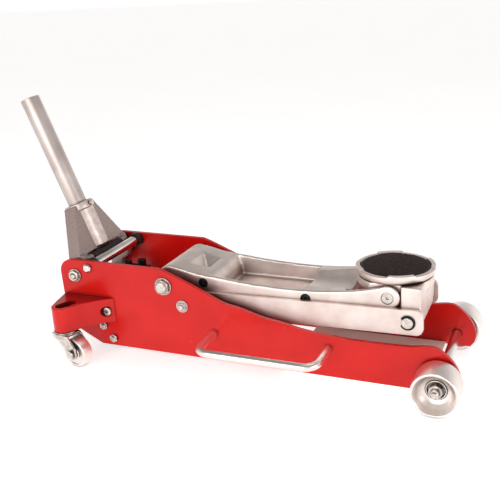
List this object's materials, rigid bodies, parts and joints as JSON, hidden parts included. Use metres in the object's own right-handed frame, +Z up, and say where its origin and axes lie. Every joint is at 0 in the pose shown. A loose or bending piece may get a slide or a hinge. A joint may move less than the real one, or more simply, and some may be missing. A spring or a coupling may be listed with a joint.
{
  "type": "trolley jack",
  "caption": "Low-profile hydraulic trolley jack with twin side plates, parallelogram lift arm, round padded saddle, pumping handle, front wheels and swivel casters.",
  "frame": {"origin": "middle of the bounding box on the floor that the wheels stand on", "axes": "+X forward towards the saddle and front wheels, +Y to the left side, +Z up"},
  "size_m": [0.6794, 0.287, 0.3745],
  "materials": {
    "red_paint": "gloss",
    "cast_aluminium": "satin cast",
    "bright_aluminium": "polished",
    "cast_iron": "rough cast, clear coated",
    "zinc_steel": "zinc plated",
    "chrome_steel": "polished",
    "black_rubber": "matt, dimpled",
    "black_steel": "satin black"
  },
  "bodies": {
    "frame": {"side_plate_left": "red_paint", "side_plate_right": "red_paint", "belly_plate": "bright_aluminium", "rear_tie_bar": "chrome_steel", "carry_loop_left": "chrome_steel", "carry_loop_right": "chrome_steel", "caster_bracket_left": "red_paint", "caster_bracket_right": "red_paint", "caster_bracket_bolt_left": "zinc_steel", "caster_bracket_bolt_right": "zinc_steel", "front_axle": "zinc_steel", "axle_nut_left": "zinc_steel", "axle_nut_right": "zinc_steel", "arm_pivot_shaft": "zinc_steel", "arm_pivot_nut_left": "zinc_steel", "arm_pivot_nut_right": "zinc_steel", "link_pivot_bolt_left": "zinc_steel", "link_pivot_bolt_right": "zinc_steel", "yoke_pivot_bolt_left": "zinc_steel", "yoke_pivot_bolt_right": "zinc_steel", "hydraulic_block": "black_steel", "reservoir_tube": "black_steel", "gland_nut": "zinc_steel", "block_bolt_upper": "zinc_steel", "block_bolt_lower": "zinc_steel"},
    "wheel_left": {"front_wheel_left": "bright_aluminium"},
    "wheel_right": {"front_wheel_right": "bright_aluminium"},
    "arm": {"lift_arm": "cast_aluminium", "arm_bolt_rear": "black_steel", "arm_bolt_front": "black_steel", "saddle_upper_pin_left": "zinc_steel", "saddle_upper_pin_right": "zinc_steel"},
    "crank_roller": {"crank_roller": "zinc_steel"},
    "links": {"link_bar_left": "cast_aluminium", "link_bar_right": "cast_aluminium"},
    "saddle_carrier": {"saddle_bracket": "cast_aluminium", "saddle_lower_pin": "zinc_steel", "retaining_ring_left": "black_steel", "retaining_ring_right": "black_steel"},
    "saddle": {"saddle_dish": "cast_aluminium", "saddle_pad": "black_rubber"},
    "ram": {"ram_rod": "chrome_steel"},
    "yoke": {"pump_yoke": "cast_iron", "handle_screw": "zinc_steel", "bump_roller": "black_rubber"},
    "pump_roller": {"pump_roller": "zinc_steel"},
    "handle": {"handle_tube": "bright_aluminium", "release_joint": "zinc_steel"},
    "release_stem": {"release_stem": "zinc_steel"},
    "pump_piston": {"pump_piston": "chrome_steel"},
    "caster_left": {"caster_fork_left": "zinc_steel", "caster_axle_left": "zinc_steel", "caster_nut_left": "zinc_steel"},
    "caster_wheel_left": {"caster_wheel_left": "bright_aluminium"},
    "caster_right": {"caster_fork_right": "zinc_steel", "caster_axle_right": "zinc_steel", "caster_nut_right": "zinc_steel"},
    "caster_wheel_right": {"caster_wheel_right": "bright_aluminium"}
  },
  "joints": [
    {"name": "lift", "type": "hinge", "parent": "frame", "child": "arm", "pos_m": [-0.07924, 0, 0.1172], "axis": [0, -1, 0], "range_deg": [-11, 45.5]},
    {"name": "link_swing", "type": "hinge", "parent": "frame", "child": "links", "pos_m": [-0.05114, 0, 0.0898], "axis": [0, -1, 0], "range_deg": [-11.6, 45.6]},
    {"name": "saddle_level", "type": "hinge", "parent": "arm", "child": "saddle_carrier", "pos_m": [0.23628, 0, 0.12419], "axis": [0, -1, 0], "range_deg": [-45.6, 11.6]},
    {"name": "saddle_turn", "type": "hinge", "parent": "saddle_carrier", "child": "saddle", "pos_m": [0.23546, 0, 0.15], "axis": [0, 0, 1], "continuous": true},
    {"name": "ram_slide", "type": "slide", "parent": "frame", "child": "ram", "axis": [1, 0, 0], "range_m": [-0.0096, 0.0371]},
    {"name": "crank_roller_spin", "type": "hinge", "parent": "arm", "child": "crank_roller", "pos_m": [-0.09386, 0, 0.06939], "axis": [0, 1, 0], "continuous": true},
    {"name": "handle_swing", "type": "hinge", "parent": "frame", "child": "yoke", "pos_m": [-0.22794, 0, 0.1198], "axis": [0, -1, 0], "range_deg": [0, 45]},
    {"name": "handle_twist", "type": "hinge", "parent": "yoke", "child": "handle", "pos_m": [-0.22794, 0, 0.1198], "axis": [-0.3665, 0, 0.9304], "range_deg": [0, 180]},
    {"name": "release_turn", "type": "hinge", "parent": "frame", "child": "release_stem", "pos_m": [-0.22794, 0, 0.1198], "axis": [-0.3665, 0, 0.9304], "range_deg": [-0.5, 180.5]},
    {"name": "pump_stroke", "type": "slide", "parent": "frame", "child": "pump_piston", "axis": [1, 0, 0], "range_m": [-0.0005, 0.025]},
    {"name": "pump_roller_spin", "type": "hinge", "parent": "yoke", "child": "pump_roller", "pos_m": [-0.24019, 0.024, 0.09024], "axis": [0, 1, 0], "continuous": true},
    {"name": "wheel_spin_left", "type": "hinge", "parent": "frame", "child": "wheel_left", "pos_m": [0.30946, 0.098, 0.0302], "axis": [0, 1, 0], "continuous": true},
    {"name": "wheel_spin_right", "type": "hinge", "parent": "frame", "child": "wheel_right", "pos_m": [0.30946, -0.098, 0.0302], "axis": [0, 1, 0], "continuous": true},
    {"name": "caster_swivel_left", "type": "hinge", "parent": "frame", "child": "caster_left", "pos_m": [-0.22454, 0.1195, 0.05], "axis": [0, 0, 1], "continuous": true},
    {"name": "caster_spin_left", "type": "hinge", "parent": "caster_left", "child": "caster_wheel_left", "pos_m": [-0.20252, 0.12499, 0.0217], "axis": [-0.2419, 0.9703, 0], "continuous": true},
    {"name": "caster_swivel_right", "type": "hinge", "parent": "frame", "child": "caster_right", "pos_m": [-0.22454, -0.1195, 0.05], "axis": [0, 0, 1], "continuous": true},
    {"name": "caster_spin_right", "type": "hinge", "parent": "caster_right", "child": "caster_wheel_right", "pos_m": [-0.20252, -0.12499, 0.0217], "axis": [0.2419, 0.9703, 0], "continuous": true}
  ],
  "couplings": [
    {"joint": "link_swing", "follows": "lift", "ratio": 1},
    {"joint": "saddle_level", "follows": "lift", "ratio": -1},
    {"joint": "ram_slide", "follows": "lift", "m_per_rad": 0.046},
    {"joint": "release_turn", "follows": "handle_twist", "ratio": 1},
    {"joint": "pump_stroke", "follows": "handle_swing", "m_per_rad": 0.0312}
  ]
}
